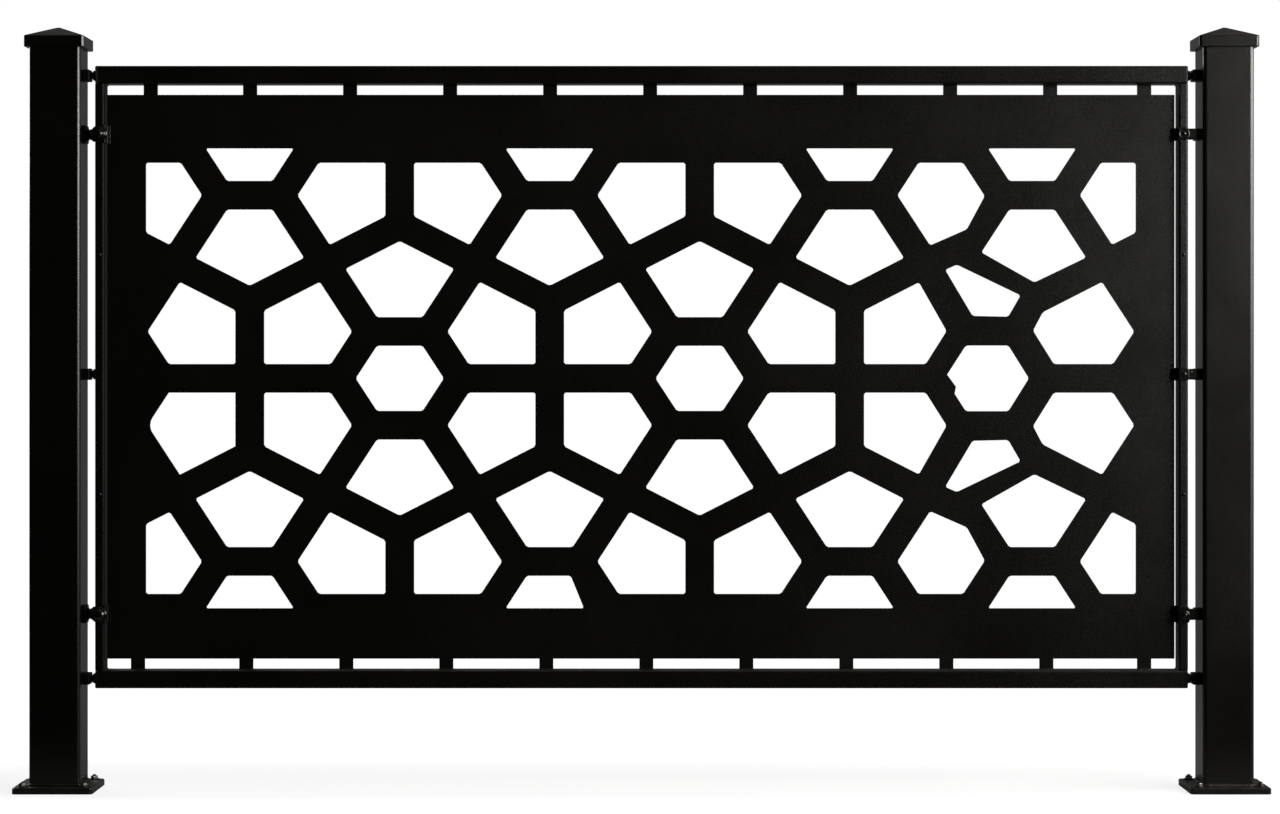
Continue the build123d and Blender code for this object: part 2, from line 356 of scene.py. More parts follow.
# fine rubbed marks that run mostly along the fence
marksSettings = {
    "inputs": {"Amount": 0.5, "Scale": 60.0},
    "stretch": (0.12, 1.0, 1.0), "slope": 9,
    "line": (6.0, 0.75), "lineLimits": (0.6, 0.78),
    "areaScale": 4.0, "area": (3.0, 0.5), "areaLimits": (0.5, 0.72),
}
rubbedMarks, groupIn, groupOut = newGroup("rubbedMarks", marksSettings["inputs"], ["Mask"])
place = ownPlace(rubbedMarks)
stretch = rubbedMarks.nodes.new("ShaderNodeMapping")
stretch.inputs["Scale"].default_value = marksSettings["stretch"]
stretch.inputs["Rotation"].default_value = (0, math.radians(marksSettings["slope"]), 0)
rubbedMarks.links.new(place, stretch.inputs["Vector"])
lines = noiseNode(rubbedMarks, stretch.outputs[0], groupIn.outputs["Scale"], *marksSettings["line"])
lines = rampNode(rubbedMarks, lines, *marksSettings["lineLimits"])
area = noiseNode(rubbedMarks, place, marksSettings["areaScale"], *marksSettings["area"])
area = rampNode(rubbedMarks, area, *marksSettings["areaLimits"])
mask = times(rubbedMarks, times(rubbedMarks, lines, area), groupIn.outputs["Amount"])
rubbedMarks.links.new(mask, groupOut.inputs["Mask"])


# black coat; each surface has its own values for gloss, grain, dust and marks
coatLooks = {
    "sheetBlack": {
        "colour": (0.0022, 0.0020, 0.0015), "pale": (0.0036, 0.0033, 0.0026),
        "gloss": (0.22, 0.31), "mirror": 0.5, "bump": 0.20,
        "peel": 420, "grain": 1700, "cloud": 2.6, "film": 0.10, "specks": 0.30, "marks": 0.35,
    },
    "postBlack": {
        "colour": (0.0021, 0.0018, 0.0013), "pale": (0.0034, 0.0030, 0.0023),
        "gloss": (0.18, 0.27), "mirror": 0.5, "bump": 0.20,
        "peel": 380, "grain": 1500, "cloud": 3.4, "film": 0.18, "specks": 0.55, "marks": 0.40,
    },
    "frameBlack": {
        "colour": (0.0021, 0.0018, 0.0013), "pale": (0.0034, 0.0030, 0.0023),
        "gloss": (0.23, 0.32), "mirror": 0.5, "bump": 0.18,
        "peel": 460, "grain": 1900, "cloud": 4.0, "film": 0.16, "specks": 0.40, "marks": 0.35,
    },
    # painted shade: a darker, duller copy of frameBlack for the stile faces in the gap beside the sheet
    "innerShadeBlack": {
        "colour": (0.0019, 0.0017, 0.0013), "pale": (0.0030, 0.0027, 0.0021),
        "gloss": (0.34, 0.48), "mirror": 0.10, "bump": 0.18,
        "peel": 460, "grain": 1900, "cloud": 4.0, "film": 0.16, "specks": 0.40, "marks": 0.20,
    },
    "bracketBlack": {
        "colour": (0.0022, 0.0020, 0.0016), "pale": (0.0040, 0.0036, 0.0030),
        "gloss": (0.14, 0.26), "mirror": 0.5, "bump": 0.10,
        "peel": 600, "grain": 2400, "cloud": 30.0, "film": 0.10, "specks": 0.30, "marks": 0.20,
    },
    # for the bolts, and on the clips' ends as a painted highlight
    "boltAndTipHighlightBlack": {
        "colour": (0.0023, 0.0021, 0.0017), "pale": (0.0042, 0.0038, 0.0032),
        "gloss": (0.12, 0.20), "mirror": 0.8, "bump": 0.10,
        "peel": 600, "grain": 2400, "cloud": 30.0, "film": 0.10, "specks": 0.30, "marks": 0.20,
    },
    # painted shade: a darker, duller copy of bracketBlack for the blocks and clips, which sit in shade
    # between post and frame
    "blockShadeBlack": {
        "colour": (0.0019, 0.0018, 0.0014), "pale": (0.0032, 0.0029, 0.0023),
        "gloss": (0.36, 0.50), "mirror": 0.15, "bump": 0.14,
        "peel": 600, "grain": 2400, "cloud": 30.0, "film": 0.10, "specks": 0.30, "marks": 0.20,
    },
    "weldBlack": {
        "colour": (0.0024, 0.0021, 0.0017), "pale": (0.0042, 0.0038, 0.0031),
        "gloss": (0.24, 0.38), "mirror": 0.4, "bump": 0.30,
        "peel": 700, "grain": 2200, "cloud": 60.0, "film": 0.12, "specks": 0.35, "marks": 0.10,
    },
}
coatSettings = {
    "paleLimits": (0.3, 0.75), "glossLimits": (0.25, 0.75), "dustColour": (0.085, 0.078, 0.066),
    "grainMiddle": 0.675, "grainDulls": 0.16, "dustDulls": 0.45, "topDulls": 0.22, "marksDull": 0.25,
    "bumpReach": 0.6 * mm, "index": 1.5,
}


def newMaterial(name):
    material = bpy.data.materials.new(name)
    material.use_nodes = True
    tree = material.node_tree
    return material, tree, tree.nodes["Principled BSDF"]


def coatMaterial(name):
    look = coatLooks[name]
    material, tree, shader = newMaterial(name)
    scales = {"Peel Scale": look["peel"], "Grain Scale": look["grain"], "Cloud Scale": look["cloud"]}
    grain = placeGroup(tree, coatGrain, scales)
    dust = placeGroup(tree, settledDust, {"Film": look["film"], "Specks": look["specks"]})
    marks = placeGroup(tree, rubbedMarks, {"Amount": look["marks"]})
    slow = rampNode(tree, grain["Cloud"], *coatSettings["paleLimits"])
    paint = colourMix(tree, slow, look["colour"], look["pale"])
    dusty = colourMix(tree, dust["Mask"], paint, coatSettings["dustColour"])
    tree.links.new(dusty, shader.inputs["Base Color"])
    dull = spreadNode(tree, grain["Cloud"], coatSettings["glossLimits"], look["gloss"])
    uneven = mathNode(tree, "SUBTRACT", grain["Height"], coatSettings["grainMiddle"])
    dull = plus(tree, dull, times(tree, uneven, coatSettings["grainDulls"]))
    dull = plus(tree, dull, times(tree, dust["Mask"], coatSettings["dustDulls"]))
    dull = plus(tree, dull, times(tree, dust["Upward"], coatSettings["topDulls"]))  # weathered tops
    dull = plus(tree, dull, times(tree, marks["Mask"], coatSettings["marksDull"]), clamp=True)
    tree.links.new(dull, shader.inputs["Roughness"])
    bump = bumpNode(tree, grain["Height"], look["bump"], coatSettings["bumpReach"])
    tree.links.new(bump, shader.inputs["Normal"])
    shader.inputs["IOR"].default_value = coatSettings["index"]
    shader.inputs["Specular IOR Level"].default_value = look["mirror"]
    return material


coats = {name: coatMaterial(name) for name in coatLooks}

# bare fasteners: dull plated steel, darker in patches
platedLook = {
    "bright": (0.22, 0.21, 0.195), "dark": (0.07, 0.066, 0.06), "patchLimits": (0.35, 0.7),
    "gloss": (0.18, 0.40), "cloud": 140, "peel": 900, "bump": 0.08, "bumpReach": 0.4 * mm,
}
platedSteel, tree, shader = newMaterial("platedSteel")
grain = placeGroup(tree, coatGrain, {"Cloud Scale": platedLook["cloud"], "Peel Scale": platedLook["peel"]})
patches = rampNode(tree, grain["Cloud"], *platedLook["patchLimits"])
steel = colourMix(tree, patches, platedLook["bright"], platedLook["dark"])
tree.links.new(steel, shader.inputs["Base Color"])
rough = spreadNode(tree, grain["Cloud"], (0, 1), platedLook["gloss"])
tree.links.new(rough, shader.inputs["Roughness"])
bump = bumpNode(tree, grain["Height"], platedLook["bump"], platedLook["bumpReach"])
tree.links.new(bump, shader.inputs["Normal"])
shader.inputs["Metallic"].default_value = 1
print("materials made")


def paintOnly(piece, material):
    piece.data.materials.clear()
    piece.data.materials.append(material)
    for face in piece.data.polygons:
        face.material_index = 0
    return piece


def paintFaces(piece, material, chosen):
    piece.data.materials.append(material)
    for face in piece.data.polygons:
        if chosen(face):
            face.material_index = len(piece.data.materials) - 1


def carry(piece):
    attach(piece, "root")


# a solid's own shape with its edges eased and its rounds smooth
easedNodes = {
    "sheet": {
        "nodes": ["infill_sheet"],
        "width": 0.5 * mm, "segments": 2, "coat": "sheetBlack", "slot": "sheet_coat",
    },
    "posts": {
        "nodes": ["left_post", "right_post"],
        "width": 0, "segments": 0, "coat": "postBlack", "slot": "post_coat",
    },
    "caps": {
        "nodes": ["left_post_cap", "right_post_cap"],
        "width": 1.0 * mm, "segments": 3, "coat": "postBlack", "slot": "post_coat",
    },
    "plates": {
        "nodes": ["left_base_plate", "right_base_plate"],
        "width": 0.6 * mm, "segments": 2, "coat": "postBlack", "slot": "post_coat",
    },
    "tubes": {
        "nodes": ["top_rail", "bottom_rail", "left_stile", "right_stile"],
        "width": 0, "segments": 0, "coat": "frameBlack", "slot": "frame_coat",
    },
    "ends": {
        "nodes": [
            "top_rail_left_cap", "top_rail_right_cap", "bottom_rail_left_cap", "bottom_rail_right_cap",
        ],
        "width": 0.9 * mm, "segments": 4, "coat": "frameBlack", "slot": "frame_coat",
    },
    "clips": {
        "nodes": [
            "left_upper_clip", "left_lower_clip",
            "right_upper_clip", "right_middle_clip", "right_lower_clip",
        ],
        # painted shade: the clips take the darker block coat
        "width": 0.8 * mm, "segments": 3, "coat": "blockShadeBlack", "slot": "bracket_coat",
    },
}
easedSettings = {"flatAngle": 0.3, "flatWeight": 100, "facesIn": 0.45, "tip": 0.9 * mm}


def eased(node, look):
    piece = bpy.data.objects.new(node + "_eased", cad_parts[node].data.copy())
    bpy.context.scene.collection.objects.link(piece)
    mergeClose(piece)
    editMode()
    bpy.ops.mesh.dissolve_limited(angle_limit=math.radians(easedSettings["flatAngle"]))
    objectMode()
    if look["width"]:
        bevelEdges(piece, look["width"], look["segments"])
        mergeClose(piece)  # the bevel leaves double points at round corners
    smooth(piece)
    flattenShading(piece, easedSettings["flatWeight"])
    paintOnly(piece, coats[look["coat"]])
    carry(piece)
    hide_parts(node)
    return piece


easedPieces = {}
for look in easedNodes.values():
    for node in look["nodes"]:
        easedPieces[node] = eased(node, look)

# painted shade: the stiles take a darker, duller copy of their coat on the faces toward the sheet, where the
# gap is in shade
for side, inward in {"left": 1, "right": -1}.items():
    paintFaces(
        easedPieces[side + "_stile"], coats["innerShadeBlack"],
        lambda face: face.normal.x * inward > easedSettings["facesIn"],
    )
# painted shade and highlight: the clips are in the darker block coat except for the end on the sheet, which
# takes the glossier bolt coat for a bright edge line
for node in easedNodes["clips"]["nodes"]:
    low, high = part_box(node)
    end = high[0] if node.startswith("left") else low[0]
    paintFaces(
        easedPieces[node], coats["boltAndTipHighlightBlack"],
        lambda face: abs(face.center.x - end) < easedSettings["tip"],
    )
print("solids eased")


def finishSmall(piece, flatWeight=60):  # soft shading with crisp flats
    smooth(piece)
    flattenShading(piece, flatWeight)
    carry(piece)


# brackets: a block or flange screwed to the post, then a turned knob, a ball or a flat arm up to the frame
bracketLooks = {
    "leftKnob": {
        "levels": ["left_top", "left_middle", "left_bottom"], "inward": 1,
        "depth": 32, "thickness": 11, "corner": 2.4, "screwsAt": [-11.5, 11.5],
        "rings": [
            (-1, 6.6), (0.5, 6.6), (0.9, 6.1), (1.3, 5.2), (2.0, 4.8), (2.6, 5.2), (3.0, 6.4), (3.8, 7.6),
            (5.0, 8.2), (6.2, 8.0), (7.3, 7.2), (8.3, 6.1), (9.0, 5.6),
        ],
    },
    "rightKnob": {
        "levels": ["right_top", "right_bottom"], "inward": -1,
        "depth": 32, "thickness": 11, "corner": 2.4, "screwsAt": [-11.5, 11.5],
        "rings": [
            (-1, 6.6), (0.5, 6.6), (0.9, 6.1), (1.3, 5.2), (1.9, 4.9), (2.4, 5.6), (2.9, 6.9), (3.8, 7.9),
            (4.3, 8.0), (4.6, 7.4), (4.9, 7.4), (5.2, 8.0), (6.2, 7.9), (7.3, 7.1), (8.3, 6.1), (9.0, 5.6),
        ],
    },
    "leftBall": {
        "levels": ["left_upper", "left_lower"], "inward": 1,
        "depth": 32, "thickness": 5, "corner": 5.5, "screwsAt": [],
        "rings": [
            (-1, 12.2), (0.6, 12.2), (1.2, 11.7), (2.0, 10.0), (3.0, 8.4), (4.0, 7.6), (4.8, 7.4),
            (5.1, 8.6), (5.8, 8.8), (6.5, 8.6), (6.8, 7.8), (7.3, 8.6), (8.1, 10.0), (9.4, 11.1),
            (10.8, 11.4), (12.2, 11.0), (13.4, 10.0), (14.4, 8.6), (15.0, 8.0),
        ],
    },
    "rightArm": {
        "levels": ["right_upper", "right_middle", "right_lower"], "inward": -1,
        "depth": 32, "thickness": 7, "corner": 2.4, "screwsAt": [5], "arm": (14, 17), "armFront": -20,
    },
}
bracketSettings = {
    "cornerSteps": 4, "edge": 0.9, "edgeSteps": 3, "armCorner": 1.6, "armSunk": 1, "knobSides": 40,
    "screw": [(-0.6, 3.0), (0.25, 3.0), (0.5, 2.8), (0.5, 1.7), (-0.4, 1.5)], "screwSides": 24,
}


def modelBracket(look):
    low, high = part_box(look["levels"][0] + "_bracket")
    level = (low[2] + high[2]) / 2
    inward = look["inward"]
    way = "right" if inward > 0 else "left"
    postFace, frameEdge = (low[0], high[0]) if inward > 0 else (high[0], low[0])
    blockFace = postFace + inward * look["thickness"] * mm
    block = barAt(
        ((postFace + blockFace) / 2, 0, level),
        (look["thickness"] * mm, look["depth"] * mm, high[2] - low[2]),
    )
    roundAlong(block, 0, look["corner"] * mm, bracketSettings["cornerSteps"])
    bevelEdges(block, bracketSettings["edge"] * mm, bracketSettings["edgeSteps"])
    # painted shade: the block takes the darker block coat
    made = [paintOnly(block, coats["blockShadeBlack"])]
    if "arm" in look:
        depth, tall = look["arm"]
        sunk = bracketSettings["armSunk"] * mm  # the arm starts inside the block
        arm = barAt(
            ((blockFace + frameEdge) / 2 - inward * sunk / 2, (look["armFront"] + depth / 2) * mm, level),
            (abs(frameEdge - blockFace) + sunk, depth * mm, tall * mm),
        )
        roundAlong(arm, 0, bracketSettings["armCorner"] * mm, bracketSettings["cornerSteps"])
        made.append(paintOnly(arm, coats["bracketBlack"]))
    else:
        knob = turned(look["rings"], bracketSettings["knobSides"], way, (blockFace, 0, level))
        made.append(paintOnly(knob, coats["bracketBlack"]))
    for along in look["screwsAt"]:
        spot = (blockFace, along * mm, level)
        screw = turned(bracketSettings["screw"], bracketSettings["screwSides"], way, spot)
        made.append(paintOnly(screw, coats["bracketBlack"]))
    return joined(made, look["levels"][0] + "_bracket_made"), level


for look in bracketLooks.values():
    first, firstLevel = modelBracket(look)
    for level in look["levels"]:
        rise = middleOf(level + "_bracket")[2] - firstLevel
        bracket = first
        if level != look["levels"][0]:
            bracket = copied(first, level + "_bracket_made", (0, 0, rise))
        finishSmall(bracket)
        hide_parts(level + "_bracket")
print("brackets made")

# profiles of the bolts and screws that face the front
frontBolts = {
    "dome": {
        "sides": 48,
        "rings": [
            (-0.5, 12.7), (1.4, 13.0), (2.3, 12.7), (2.9, 12.0), (3.1, 11.2), (2.7, 10.5), (2.9, 10.1),
            (4.6, 9.9), (5.7, 9.4), (6.3, 8.6), (6.5, 7.8), (6.1, 7.1), (6.3, 6.7), (7.8, 6.3), (9.0, 5.2),
            (9.7, 3.6), (10.1, 1.8), (10.2, 0.5),
        ],
    },
    "lowDome": {
        "sides": 48,
        "rings": [
            (-0.5, 11.9), (1.2, 12.2), (2.0, 11.9), (2.6, 11.2), (2.8, 10.4), (2.4, 9.7), (2.6, 9.3),
            (4.4, 9.0), (6.0, 8.0), (7.2, 6.4), (7.9, 4.4), (8.3, 2.2), (8.4, 0.5),
        ],
    },
    "ringWasher": {
        "sides": 48,
        "rings": [
            (-0.5, 9.4), (0.6, 9.6), (1.7, 9.3), (2.5, 8.6), (2.9, 7.7), (2.8, 6.8), (2.3, 6.1), (1.3, 5.6),
            (0.7, 5.5), (0.7, 2.5),
        ],
    },
    "pin": {
        "sides": 40,
        "rings": [
            (-6.0, 5.6), (-0.4, 5.6), (0.0, 6.6), (1.2, 6.9), (2.2, 6.6), (2.9, 5.9), (3.0, 5.0), (2.5, 4.3),
            (1.4, 4.0), (1.2, 2.0),
        ],
    },
    "washer": {
        "sides": 40,
        "rings": [
            (-0.3, 7.0), (0.9, 7.3), (1.9, 7.0), (2.6, 6.3), (2.8, 5.4), (2.3, 4.7), (1.2, 4.4), (1.0, 2.0),
        ],
    },
    "button": {
        "sides": 32,
        "rings": [(-0.5, 3.7), (2.2, 3.7), (3.1, 3.4), (3.9, 2.6), (4.3, 1.4), (4.4, 0.4)],
    },
    "smallDome": {
        "sides": 32,
        "rings": [(-0.5, 4.4), (0.6, 4.5), (1.7, 4.1), (2.6, 3.2), (3.1, 2.0), (3.1, 1.4), (1.8, 1.1)],
    },
    "panScrew": {
        "sides": 24,
        "rings": [(-0.4, 3.1), (0.5, 3.1), (1.1, 2.9), (1.6, 2.4), (1.8, 1.9), (1.8, 1.2), (0.8, 1.0)],
    },
}

# bolts on the clips, each as it shows: domes on the left, a ringed bolt and two plates on the right;
# a part is a profile and its lift off the clip, a plate is width, height, thickness and corner,
# and at is a place across and out in the frame with a rise over the clip's middle, all in mm
clipBolts = {
    "left_upper_dome": {"clip": "left_upper", "parts": [("dome", 0)]},
    "left_lower_dome": {"clip": "left_lower", "parts": [("lowDome", 0)]},
    "left_lower_pin": {"clip": "left_lower", "at": (57.4, -11, 0), "parts": [("pin", 0), ("button", 0.8)]},
    "right_upper_bolt": {"clip": "right_upper", "parts": [("ringWasher", 0), ("button", 0.4)]},
    "right_middle_bolt": {"clip": "right_middle", "plate": (17, 19, 2.5, 4.5), "parts": [("smallDome", 2.5)]},
    "right_middle_arm_screw": {"clip": "right_middle", "at": (1774, -20, 3), "parts": [("panScrew", 0)]},
    "right_lower_bolt": {
        "clip": "right_lower", "plate": (18, 26, 2.5, 5), "aside": 1.5,
        "parts": [("washer", 2.5), ("button", 3.2)],
    },
}
plateSettings = {"sunk": 0.4, "cornerSteps": 5, "edge": 1.4, "edgeSteps": 4, "edgeAngle": 50}


def clipFront(clip):  # middle of the stile, on the front face of the clip's pad
    low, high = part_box(clip + "_clip")
    return Vector((middleOf(clip.split("_")[0] + "_stile")[0], low[1], (low[2] + high[2]) / 2))


def ontoFront(bolt, place, lift=0):
    look = frontBolts[bolt]
    return turned(look["rings"], look["sides"], "front", Vector(place) - Vector((0, lift * mm, 0)))


def softPlate(place, width, height, thickness, corner):
    sunk = plateSettings["sunk"]  # part of the plate is inside the clip
    plate = barAt(
        Vector(place) - Vector((0, (thickness - sunk) * mm / 2, 0)),
        (width * mm, (thickness + sunk) * mm, height * mm),
    )
    roundAlong(plate, 1, corner * mm, plateSettings["cornerSteps"])
    bevelEdges(plate, plateSettings["edge"] * mm, plateSettings["edgeSteps"], plateSettings["edgeAngle"])
    return plate


def finishBolt(parts, name):
    finishSmall(paintOnly(joined(parts, name), coats["boltAndTipHighlightBlack"]))


for name, bolt in clipBolts.items():
    spot = clipFront(bolt["clip"])
    made = []
    if "plate" in bolt:
        made.append(softPlate(spot, *bolt["plate"]))
    if "at" in bolt:
        across, out, rise = bolt["at"]
        spot = Vector((across * mm, out * mm, spot.z + rise * mm))
    if "aside" in bolt:
        spot = spot + Vector((bolt["aside"] * mm, 0, 0))
    made += [ontoFront(part, spot, lift) for part, lift in bolt["parts"]]
    finishBolt(made, name)
print("clip bolts made")

# screws half way between the brackets, on the front of both stiles
stileScrews = {"heights": [839, 464], "stiles": ["left_stile", "right_stile"], "screw": "panScrew"}


def stileFront(stile, height):
    low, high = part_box(stile)
    return Vector(((low[0] + high[0]) / 2, low[1], height * mm))


firstSpot = stileFront(stileScrews["stiles"][0], stileScrews["heights"][0])
firstScrew = ontoFront(stileScrews["screw"], firstSpot)
for stile in stileScrews["stiles"]:
    spots = [stileFront(stile, height) for height in stileScrews["heights"]]
    finishBolt([copied(firstScrew, "head", spot - firstSpot) for spot in spots], stile + "_screws")
bpy.data.objects.remove(firstScrew)

# anchor bolts: a washer, a nut and the end of a stud over each hole in the base plates
anchorBolt = {
    "washer": [(-0.2, 8.2), (0.2, 8.6), (1.2, 8.6), (1.5, 8.3), (1.5, 4.5)], "washerSides": 36,
    "nut": [(1.3, 5.5), (1.8, 5.9), (5.2, 5.9), (6.0, 5.2), (6.0, 3.2)], "nutSides": 6,
    "stud": [
        (5.6, 2.9), (6.2, 2.9), (6.4, 2.5), (6.6, 2.5), (6.8, 2.9), (7.0, 2.9), (7.2, 2.5), (7.4, 2.5),
        (7.6, 2.9), (8.0, 2.6), (8.2, 2.0),
    ],
    "studSides": 20, "spread": 48, "corners": [(-1, -1), (1, -1), (-1, 1), (1, 1)],
}


def plateTop(side, across=0, along=0):
    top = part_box(side + "_base_plate")[1][2]
    centre = middleOf(side + "_base_plate")
    spread = anchorBolt["spread"] * mm
    return Vector((centre[0] + across * spread, centre[1] + along * spread, top))


firstSpot = plateTop("left")
made = []
for part, material in {"washer": coats["bracketBlack"], "nut": platedSteel, "stud": platedSteel}.items():
    made.append(paintOnly(turned(anchorBolt[part], anchorBolt[part + "Sides"], "up", firstSpot), material))
firstAnchor = joined(made, "anchor")
for side in ("left", "right"):
    for index, (across, along) in enumerate(anchorBolt["corners"]):
        offset = plateTop(side, across, along) - firstSpot
        finishSmall(copied(firstAnchor, f"{side}_anchor_{index + 1}", offset))
bpy.data.objects.remove(firstAnchor)
print("anchors made")

# weld beads: round each post's foot, in the frame's inner corners, and along the tabs
weldSettings = {
    "foot": 3.4, "footGrow": 1, "footLift": 0.6, "footCorner": 7, "footSteps": 6, "footSide": 20,
    "footCuts": 36, "footRounds": 3, "corner": 1.7, "cornerInset": 3, "cornerCuts": 12,
    "tab": 1.6, "tabCuts": 6, "sides": 10, "lengthwise": 0.9, "end": 0.45, "endSteps": 3, "endAngle": 60,
    "ripple": 0.7, "footRipple": 1.4, "rippleScale": 0.0042, "softAngle": 60,
}
beadRipple = bpy.data.textures.new("beadRipple", "CLOUDS")
beadRipple.noise_scale = weldSettings["rippleScale"]


def rippled(bead, strength):
    applyModifier(
        bead, "DISPLACE", texture=beadRipple, texture_coords="LOCAL", strength=strength * mm, mid_level=0.5
    )
    smooth(bead, weldSettings["softAngle"])
    paintOnly(bead, coats["weldBlack"])
    carry(bead)


for side in ("left", "right"):
    low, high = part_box(side + "_post")
    across, along, _ = middleOf(side + "_post")
    deselect()
    bpy.ops.mesh.primitive_plane_add(
        size=high[0] - low[0] + weldSettings["footGrow"] * mm,
        location=(across, along, low[2] + weldSettings["footLift"] * mm),
    )
    bead = bpy.context.object
    settle(bead)
    editMode()
    bpy.ops.mesh.select_all(action="SELECT")
    bpy.ops.mesh.delete(type="ONLY_FACE")
    bpy.ops.mesh.select_all(action="SELECT")
    bpy.ops.mesh.bevel(
        offset=weldSettings["footCorner"] * mm, segments=weldSettings["footSteps"], affect="VERTICES"
    )
    bpy.ops.mesh.select_all(action="DESELECT")
    objectMode()
    selectEdges(bead, lambda run: run.length > weldSettings["footSide"] * mm)
    editMode()
    bpy.ops.mesh.subdivide(number_cuts=weldSettings["footCuts"])
    objectMode()
    bpy.ops.object.convert(target="CURVE")
    bead.data.bevel_depth = weldSettings["foot"] * mm
    bead.data.bevel_resolution = weldSettings["footRounds"]
    bpy.ops.object.convert(target="MESH")
    bead = joined([bpy.context.object], side + "_foot_weld")
    fixNormals(bead)
    rippled(bead, weldSettings["footRipple"])


def beadAlong(start, end, radius, cuts):
    start, end = Vector(start), Vector(end)
    length = (end - start).length
    deselect()
    bpy.ops.mesh.primitive_cylinder_add(
        vertices=weldSettings["sides"], radius=radius, depth=length, location=(start + end) / 2
    )
    bead = bpy.context.object
    bead.rotation_euler = (end - start).to_track_quat("Z", "Y").to_euler()
    settle(bead)
    selectEdges(bead, lambda run: run.length > weldSettings["lengthwise"] * length)
    editMode()
    bpy.ops.mesh.select_mode(type="EDGE")
    bpy.ops.mesh.subdivide(number_cuts=cuts)
    bpy.ops.mesh.select_mode(type="FACE")
    objectMode()
    bevelEdges(bead, radius * weldSettings["end"], weldSettings["endSteps"], weldSettings["endAngle"])
    return bead


leftLow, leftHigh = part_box("left_stile")
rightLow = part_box("right_stile")[0]
inset = weldSettings["cornerInset"] * mm
firstBead = beadAlong(
    (leftHigh[0], leftLow[1] + inset, leftLow[2]),
    (leftHigh[0], leftHigh[1] - inset, leftLow[2]),
    weldSettings["corner"] * mm,
    weldSettings["cornerCuts"],
)
over = rightLow[0] - leftHigh[0]
up = leftHigh[2] - leftLow[2]
beads = [firstBead]
for offset in ((over, 0, 0), (0, 0, up), (over, 0, up)):
    beads.append(copied(firstBead, "bead", offset))
rippled(joined(beads, "frame_corner_welds"), weldSettings["ripple"])

tabPlaces = {
    "top": {"first": 68, "row": 224},
    "bottom": {"first": 48, "row": 218},
    "pitch": 157, "count": 9, "last": 47.5, "half": 10,
}
low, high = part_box("infill_sheet")
half = tabPlaces["half"] * mm
for edge in ("top", "bottom"):
    level = high[2] if edge == "top" else low[2]
    centres = [low[0] + tabPlaces[edge]["first"] * mm, high[0] - tabPlaces["last"] * mm]
    for step in range(tabPlaces["count"]):
        centres.append(low[0] + (tabPlaces[edge]["row"] + step * tabPlaces["pitch"]) * mm)
    firstBead = beadAlong(
        (centres[0] - half, low[1], level),
        (centres[0] + half, low[1], level),
        weldSettings["tab"] * mm,
        weldSettings["tabCuts"],
    )
    beads = [firstBead]
    for centre in centres:
        for face in (low[1], high[1]):
            if centre != centres[0] or face != low[1]:
                beads.append(copied(firstBead, "bead", (centre - centres[0], face - low[1], 0)))
    rippled(joined(beads, edge + "_tab_welds"), weldSettings["ripple"])
print("welds made")


def seenDirectly(tree):  # camera and transmission rays
    paths = tree.nodes.new("ShaderNodeLightPath").outputs
    return mathNode(tree, "MAXIMUM", paths["Is Camera Ray"], paths["Is Transmission Ray"])


# floor: white to the camera, with the fence's shadow near it, and dim to all other rays
floorSettings = {
    "low": (-1.6, -0.36), "high": (3.4, 3.2), "white": (0.9, 0.9, 0.9), "bounce": (0.2, 0.2, 0.2),
    "glow": 1.1, "shade": 0.26, "middle": 0.915, "reach": 0.9, "front": 2.8, "fade": (0.15, 0.62),
}
floorLow, floorHigh = floorSettings["low"], floorSettings["high"]
deselect()
bpy.ops.mesh.primitive_plane_add(
    size=1, location=((floorLow[0] + floorHigh[0]) / 2, (floorLow[1] + floorHigh[1]) / 2, 0)
)
floor = bpy.context.object
floor.name = "floor"
floor.scale = (floorHigh[0] - floorLow[0], floorHigh[1] - floorLow[1], 1)
settle(floor)
floorMaterial, tree, shader = newMaterial("floorWhite")
tree.nodes.remove(shader)
shade = tree.nodes.new("ShaderNodeBsdfDiffuse")
feed(tree, shade.inputs["Color"], floorSettings["white"])
dim = tree.nodes.new("ShaderNodeBsdfDiffuse")
feed(tree, dim.inputs["Color"], floorSettings["bounce"])
glow = tree.nodes.new("ShaderNodeEmission")
feed(tree, glow.inputs["Color"], (1, 1, 1))
glow.inputs["Strength"].default_value = floorSettings["glow"]
where = tree.nodes.new("ShaderNodeSeparateXYZ")
tree.links.new(ownPlace(tree), where.inputs[0])
fromMiddle = mathNode(tree, "SUBTRACT", where.outputs["X"], floorSettings["middle"])
fromMiddle = mathNode(tree, "ABSOLUTE", fromMiddle)
beyond = mathNode(tree, "SUBTRACT", fromMiddle, floorSettings["reach"])
beyond = mathNode(tree, "MAXIMUM", beyond, 0)
ahead = times(tree, where.outputs["Y"], -floorSettings["front"])
depth = mathNode(tree, "MAXIMUM", where.outputs["Y"], ahead)
squares = plus(tree, mathNode(tree, "POWER", beyond, 2), mathNode(tree, "POWER", depth, 2))
away = rampNode(tree, mathNode(tree, "SQRT", squares), *floorSettings["fade"])  # ends before the floor does
pale = plus(tree, times(tree, away, floorSettings["shade"]), 1 - floorSettings["shade"])
seen = seenDirectly(tree)
plain = tree.nodes.new("ShaderNodeMixShader")
tree.links.new(seen, plain.inputs["Fac"])
tree.links.new(dim.outputs[0], plain.inputs[1])
tree.links.new(shade.outputs[0], plain.inputs[2])
blend = tree.nodes.new("ShaderNodeMixShader")
tree.links.new(times(tree, seen, pale), blend.inputs["Fac"])
tree.links.new(plain.outputs[0], blend.inputs[1])
tree.links.new(glow.outputs[0], blend.inputs[2])
tree.links.new(blend.outputs[0], tree.nodes["Material Output"].inputs["Surface"])
floor.data.materials.append(floorMaterial)

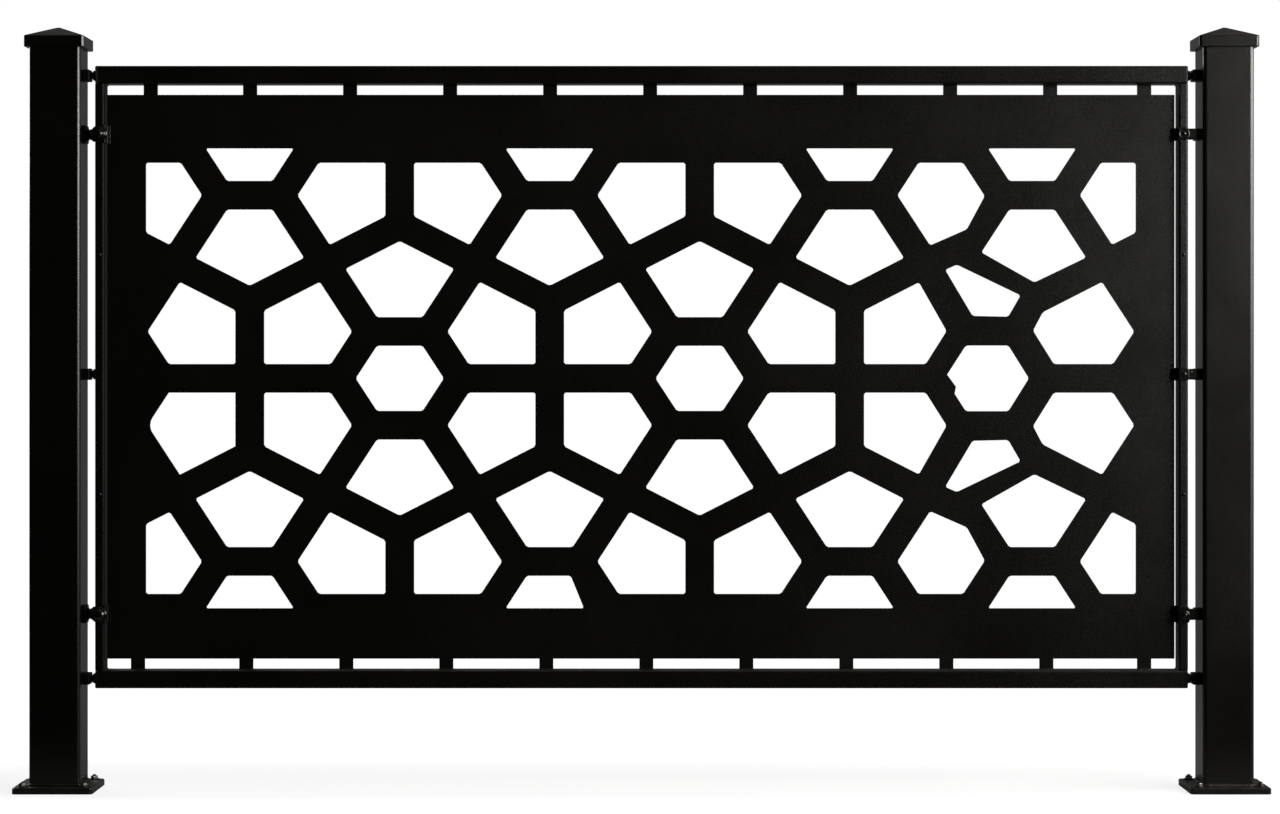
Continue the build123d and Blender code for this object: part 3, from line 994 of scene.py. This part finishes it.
# world: white to the camera, a soft fill, and a dim backdrop to glossy rays so that the coat stays black
worldSettings = {"fill": 0.16, "ahead": 0.006, "behind": 0.11, "behindLimits": (0.0, 0.9)}
world = bpy.data.worlds.new("studio")
bpy.context.scene.world = world
world.use_nodes = True
tree = world.node_tree
direction = tree.nodes.new("ShaderNodeTexCoord").outputs["Generated"]
split = tree.nodes.new("ShaderNodeSeparateXYZ")
tree.links.new(direction, split.inputs[0])
glossy = tree.nodes.new("ShaderNodeLightPath").outputs["Is Glossy Ray"]
behind = rampNode(tree, split.outputs["Y"], *worldSettings["behindLimits"])
mirrored = plus(tree, times(tree, behind, worldSettings["behind"]), worldSettings["ahead"])
unseen = times(tree, glossy, mirrored)
soft = times(tree, mathNode(tree, "SUBTRACT", 1, glossy), worldSettings["fill"])
strength = mathNode(tree, "MAXIMUM", seenDirectly(tree), plus(tree, unseen, soft))
background = tree.nodes["Background"]
feed(tree, background.inputs["Color"], (1, 1, 1))
tree.links.new(strength, background.inputs["Strength"])

# a tall window at the right in four strips, brightest just above the caps, and two soft lamps
lampSettings = {
    "windowHigh": {
        "place": (3.75, -1.4, 1.45), "aim": (0.9, 0.0, 1.45), "size": (3.6, 0.66), "power": 90,
        "colour": (1.0, 0.985, 0.95),
    },
    "windowTop": {
        "place": (3.75, -1.4, 2.28), "aim": (0.9, 0.0, 2.28), "size": (3.6, 1.0), "power": 28,
        "colour": (1.0, 0.985, 0.95),
    },
    "windowMid": {
        "place": (3.7, -1.5, 0.95), "aim": (0.9, 0.0, 0.95), "size": (3.6, 0.5), "power": 26,
        "colour": (1.0, 0.985, 0.95),
    },
    "windowLow": {
        "place": (3.7, -1.5, 0.475), "aim": (0.9, 0.0, 0.475), "size": (3.6, 0.45), "power": 10,
        "colour": (1.0, 0.985, 0.95),
    },
    "backLeft": {
        "place": (-2.2, 2.6, 1.9), "aim": (0.9, 0.0, 0.7), "size": (2.4, 1.6), "power": 60,
        "colour": (1.0, 0.99, 0.97),
    },
    "ceiling": {
        "place": (1.2, 0.2, 3.4), "aim": (0.9, 0.0, 0.5), "size": (3.0, 2.0), "power": 8,
        "colour": (1.0, 0.99, 0.97),
    },
}
for name, lamp in lampSettings.items():
    deselect()
    bpy.ops.object.light_add(type="AREA", location=lamp["place"])
    light = bpy.context.object
    light.name = name
    light.data.shape = "RECTANGLE"
    light.data.size, light.data.size_y = lamp["size"]
    light.data.energy = lamp["power"]
    light.data.color = lamp["colour"]
    towards = Vector(lamp["aim"]) - Vector(lamp["place"])
    light.rotation_euler = towards.to_track_quat("-Z", "Y").to_euler()
    light.visible_camera = False
print("floor and light set")
